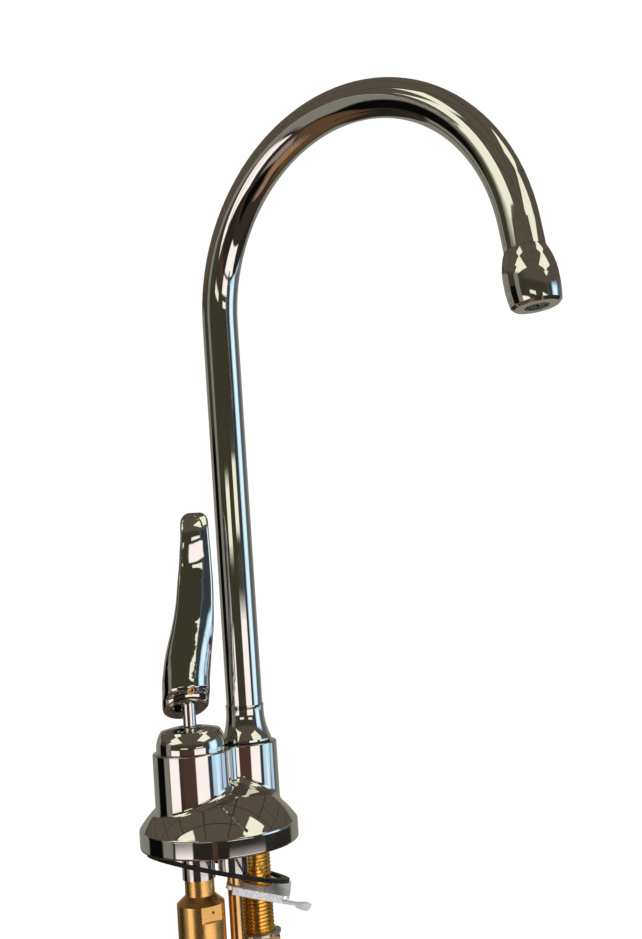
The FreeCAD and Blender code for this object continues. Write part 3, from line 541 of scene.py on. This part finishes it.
bpy.ops.mesh.bisect(
    plane_co=(0, 0, shank_high[2]), plane_no=(0, 0, 1), clear_outer=True, use_fill=True
)
bpy.ops.mesh.select_all(action="SELECT")
bpy.ops.mesh.normals_make_consistent(inside=False)
bpy.ops.object.mode_set(mode="OBJECT")
bpy.ops.object.shade_smooth_by_angle(angle=thread_crease)
thread_brass = turned_metal(
    "thread_brass", bright=(0.95, 0.62, 0.14), dull=(0.75, 0.46, 0.09),
    gloss=0.16, dullness=0.3, ring_depth=0.01 * MM, tarnish_scale=140,
)
shank.data.materials.append(thread_brass)
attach(shank, "tap_body")
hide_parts("threaded_shank")


# Hose barb: the brass tail in the shank's lower end, turned with three sharp rings over which the
# hot hose is pushed.
barb_brass = turned_metal(
    "barb_brass", brass_bright, brass_dull,
    gloss=0.2, dullness=0.34, ring_depth=0.02 * MM, tarnish_scale=160,
)
dress(barb_brass, "hose_barb")


# Mounting nut and lock washer: a brass hexagon nut, and on it a toothed washer of zinc-plated
# spring steel. They pull the plate up against the underside of the deck.
clamp_brass = turned_metal(
    "clamp_brass", bright=(0.62, 0.40, 0.13), dull=(0.36, 0.21, 0.06),
    gloss=0.24, dullness=0.4, ring_depth=0.02 * MM, tarnish_scale=130,
)
dress(clamp_brass, "mounting_nut")
plate_bloom, entry, exit_node = new_effect(
    "plate_bloom", ("Spangle Scale", "Bloom Scale"), ("Spangle", "Bloom")
)
noise_mask(
    plate_bloom, entry, exit_node, "Spangle Scale", "Spangle", low=0.35, high=0.65, detail=1.0
)
noise_mask(plate_bloom, entry, exit_node, "Bloom Scale", "Bloom", low=0.42, high=0.75, detail=5.0)
spangle_depth = 0.008 * MM


def zinc_plate(name, bright, bloom_colour, gloss, dullness, bare, spangle_scale, bloom_scale):
    """Bright zinc plating: fine spangle in the shine, and a chalky bloom that leaves it half as bare."""
    finish, nodes, links, shader = new_finish(name)
    effect = place_effect(
        nodes, links, plate_bloom, spangle_scale=spangle_scale, bloom_scale=bloom_scale
    )
    spangle, bloom = effect.outputs["Spangle"], effect.outputs["Bloom"]
    links.new(blend_colours(nodes, links, bloom, bright, bloom_colour), shader.inputs["Base Color"])
    links.new(spread(nodes, links, bloom, bare, 0.5 * bare), shader.inputs["Metallic"])
    links.new(spread(nodes, links, spangle, gloss, dullness), shader.inputs["Roughness"])
    raise_surface(nodes, links, shader, spangle, spangle_depth)
    return finish


washer_zinc = zinc_plate(
    "washer_zinc", bright=(0.60, 0.60, 0.59), bloom_colour=(0.46, 0.46, 0.44),
    gloss=0.2, dullness=0.36, bare=1.0, spangle_scale=900, bloom_scale=240,
)
dress(washer_zinc, "lock_washer")


# Horseshoe plate: stamped from steel sheet and zinc plated, with a serrated lip that bites the deck
# from below and a tail bent over to hold it by.
# Its near-white colour and its half-bare metal are painted sheen: they stand in for the bright reflections
# on the plated steel, so the plate stays pale whatever the room around it shows.
plate_zinc_painted_sheen = zinc_plate(
    "plate_zinc_painted_sheen", bright=(0.93, 0.94, 0.95), bloom_colour=(0.88, 0.89, 0.90),
    gloss=0.16, dullness=0.3, bare=0.5, spangle_scale=600, bloom_scale=130,
)
dress(plate_zinc_painted_sheen, "horseshoe_plate")


# Deck gasket: a ring moulded in black rubber, which hangs loose under the foot until the tap is
# clamped down. Handling has left a grey dust on it.
gasket_rubber = moulded_skin(
    "gasket_rubber", base=(0.005, 0.005, 0.0055), rubbed=(0.02, 0.02, 0.02),
    gloss=0.35, dullness=0.6, grain_scale=1800, grain_depth=0.04 * MM, patch_scale=160,
)
gasket_shader = gasket_rubber.node_tree.nodes["Principled BSDF"]
gasket_shader.inputs["Specular IOR Level"].default_value = 0.15
dress(gasket_rubber, "base_gasket")


# Floor: a plain sheet of white paper, level with the lowest tube end. It isn't part of the tap,
# and the chrome doesn't show it.
floor_half = 4.0
bpy.ops.mesh.primitive_plane_add(size=2 * floor_half, location=(0, 0, solid_box[0][2]))
floor = bpy.context.object
floor.name = "floor"
floor_paper, _, _, shader = new_finish("floor_paper")
shader.inputs["Base Color"].default_value = (1, 1, 1, 1)
shader.inputs["Roughness"].default_value = 1.0
shader.inputs["Specular IOR Level"].default_value = 0.0
floor.data.materials.append(floor_paper)
floor.visible_glossy = False


# Studio: a plain room for the chrome to reflect. Its ceiling is taupe with dark seams and cream
# light panels, its walls are dark olive with white cards and lamps, its table is brown, and a blue
# window is at the right. What isn't shiny is lit evenly, and the picture's ground is white.
towards_camera = (-0.588, -0.809, 0.0)
towards_right = (0.809, -0.588, 0.0)
world = bpy.data.worlds.new("studio")
bpy.context.scene.world = world
world.use_nodes = True
nodes, links = world.node_tree.nodes, world.node_tree.links
nodes.clear()


def wire(value, socket):
    """Sets a socket to a number or a vector, or links another node's output to it."""
    if isinstance(value, bpy.types.NodeSocket):
        links.new(value, socket)
    else:
        socket.default_value = value


def maths(operation, first, second=0.0):
    """One step of arithmetic in the studio's nodes."""
    node = nodes.new("ShaderNodeMath")
    node.operation = operation
    wire(first, node.inputs[0])
    wire(second, node.inputs[1])
    return node.outputs["Value"]


def along(direction):
    """How far the ray points along a direction."""
    node = nodes.new("ShaderNodeVectorMath")
    node.operation = "DOT_PRODUCT"
    links.new(ray, node.inputs[0])
    node.inputs[1].default_value = direction
    return node.outputs["Value"]


def tint(mask, under, colour):
    """Lays a colour over what is there, where the mask is 1."""
    node = nodes.new("ShaderNodeMix")
    node.data_type = "RGBA"
    links.new(mask, node.inputs["Factor"])
    wire(under, node.inputs["A"])
    wire(colour, node.inputs["B"])
    return node.outputs["Result"]


def ramp(value, low, high):
    """0 at low and 1 at high, straight between them and level beyond."""
    node = nodes.new("ShaderNodeMapRange")
    links.new(value, node.inputs["Value"])
    node.inputs["From Min"].default_value = low
    node.inputs["From Max"].default_value = high
    return node.outputs["Result"]


ray = nodes.new("ShaderNodeTexCoord").outputs["Generated"]
forward, right, up = along(towards_camera), along(towards_right), along((0, 0, 1))
bearing = maths("DEGREES", maths("ARCTAN2", right, forward))
height = maths("DEGREES", maths("ARCSINE", up))


def band(value, low, high, soft):
    """1 between two values, with soft edges."""
    return maths("MULTIPLY", ramp(value, low - soft, low), ramp(value, high + soft, high))


def patch(under, colour, bearings, heights, soft):
    """Lays a patch of one colour on the room, between two bearings and two heights in degrees.

    Its upper and lower edges are half as soft as its sides.
    """
    mask = maths("MULTIPLY", band(bearing, *bearings, soft), band(height, *heights, 0.5 * soft))
    return tint(mask, under, colour)


wall_olive = (0.062, 0.055, 0.034, 1)
table_dark = (0.030, 0.026, 0.021, 1)
table_brown = (0.15, 0.085, 0.035, 1)
table_shade = (0.05, 0.036, 0.028, 1)
table_tan = (0.42, 0.235, 0.13, 1)
table_pale = (0.40, 0.30, 0.27, 1)
grey = (0.30, 0.285, 0.235, 1)
black = (0.004, 0.004, 0.004, 1)
red_brown = (0.11, 0.055, 0.040, 1)
slate = (0.13, 0.155, 0.18, 1)
navy = (0.05, 0.062, 0.072, 1)
dim_blue = (0.68, 0.84, 1.08, 1)
lamp_cream = (1.3, 1.3, 1.0, 1)
card_white = (1.5, 1.36, 1.30, 1)
window_blue = (0.74, 1.22, 1.42, 1)
window_white = (1.15, 1.42, 1.5, 1)

# colour, bearings from left to right, heights from low to high, width of the soft edge
table_patches = (
    (table_shade, (-60, 122), (-90, -34), 10),
    (black, (-18, 22), (-66, -42), 5),
    (table_pale, (-60, -30), (-68, -49), 5),
    (table_tan, (52, 98), (-76, -60), 6),
)
wall_patches = (
    (grey, (-184, -117), (-14, 12), 3),
    (black, (-112, -84), (-40, 5), 3),
    (grey, (-81, -67), (-32, 14), 4),
    (lamp_cream, (-27, -6), (0.7, 3.2), 2),
    (lamp_cream, (23, 45), (1.4, 4.5), 1),
    (red_brown, (-20, 14), (-10.6, -8), 3),
    (red_brown, (-5, 1), (-14, -10.6), 1),
    (slate, (48, 130), (-10.8, 17), 3),
    (navy, (50, 72), (-10.8, 17), 2),
    (dim_blue, (67, 118), (-10.8, -8.4), 2),
    (window_white, (82, 89), (-10.8, -8.4), 3),
    (slate, (99, 103), (-10.8, -8.4), 2),
    (card_white, (-62, -34), (-11.3, -4), 2),
    (card_white, (18, 52), (-11, -3), 3),
    (card_white, (-60, -35), (-30, -13.4), 2),
    (card_white, (20, 72), (-30, -14.5), 3),
    (window_blue, (73, 98), (-8, 20), 6),
    (window_white, (79, 93), (-6, 11), 5),
    (grey, (136, 184), (-30, 12), 8),
)
table_edge = (-10, -13)
brown_edge = (-34, -46)
tan_edge = (-70, -76)
ceiling_edge = (13, 17)
room = tint(ramp(height, *table_edge), wall_olive, table_dark)
room = tint(ramp(height, *brown_edge), room, table_brown)
for table_patch in table_patches:
    room = patch(room, *table_patch)
room = tint(ramp(height, *tan_edge), room, table_tan)
for wall_patch in wall_patches:
    room = patch(room, *wall_patch)

# The ceiling is laid out flat, in heights of the ceiling above the tap.
horizon_guard = 0.05
overhead = maths("MAXIMUM", up, horizon_guard)
ceiling_right = maths("DIVIDE", right, overhead)
ceiling_forward = maths("DIVIDE", forward, overhead)
ceiling_taupe = (0.135, 0.108, 0.080, 1)
seam_dark = (0.03, 0.024, 0.018, 1)
tile = 0.5
seam_half = 0.006
panel_soft = 0.02
# to the right, and towards the camera
light_panels = (
    ((-2.0, -0.9), (0.62, 2.05)),
    ((-4.0, -2.0), (0.95, 2.05)),
    ((-0.94, -0.52), (0.3, 0.64)),
    ((0.88, 2.05), (0.25, 1.55)),
    ((0.58, 1.0), (-0.1, 0.42)),
)


def tile_seam(value):
    """1 on the dark seams between ceiling tiles."""
    aside = maths("PINGPONG", maths("ADD", value, 0.5 * tile), 0.5 * tile)
    return ramp(aside, 2 * seam_half, seam_half)


seams = maths("MAXIMUM", tile_seam(ceiling_right), tile_seam(ceiling_forward))
ceiling = tint(seams, ceiling_taupe, seam_dark)
for rights, forwards in light_panels:
    panel = maths(
        "MULTIPLY",
        band(ceiling_right, *rights, panel_soft),
        band(ceiling_forward, *forwards, panel_soft),
    )
    ceiling = tint(panel, ceiling, lamp_cream)
room = tint(ramp(height, *ceiling_edge), room, ceiling)

path = nodes.new("ShaderNodeLightPath")
even_white = (1.04, 1.04, 1.04, 1)
shine = nodes.new("ShaderNodeBackground")
links.new(tint(path.outputs["Is Glossy Ray"], even_white, room), shine.inputs["Color"])
links.new(shine.outputs["Background"], nodes.new("ShaderNodeOutputWorld").inputs["Surface"])
bpy.context.scene.view_settings.view_transform = "Standard"


# Camera: where the photograph was taken from, a little above the foot and looking slightly up.
# Its place, turn and lens were worked out from the tap's outline.
camera_data = bpy.data.cameras.new("camera")
camera_data.lens = 46.9269
camera_data.sensor_width = 36.0
camera = bpy.data.objects.new("camera", camera_data)
camera.location = (-0.217438, -0.372113, 0.097301)
camera.rotation_euler = [math.radians(angle) for angle in (93.785060, 3.932349, -35.830617)]
bpy.context.scene.collection.objects.link(camera)
bpy.context.scene.camera = camera
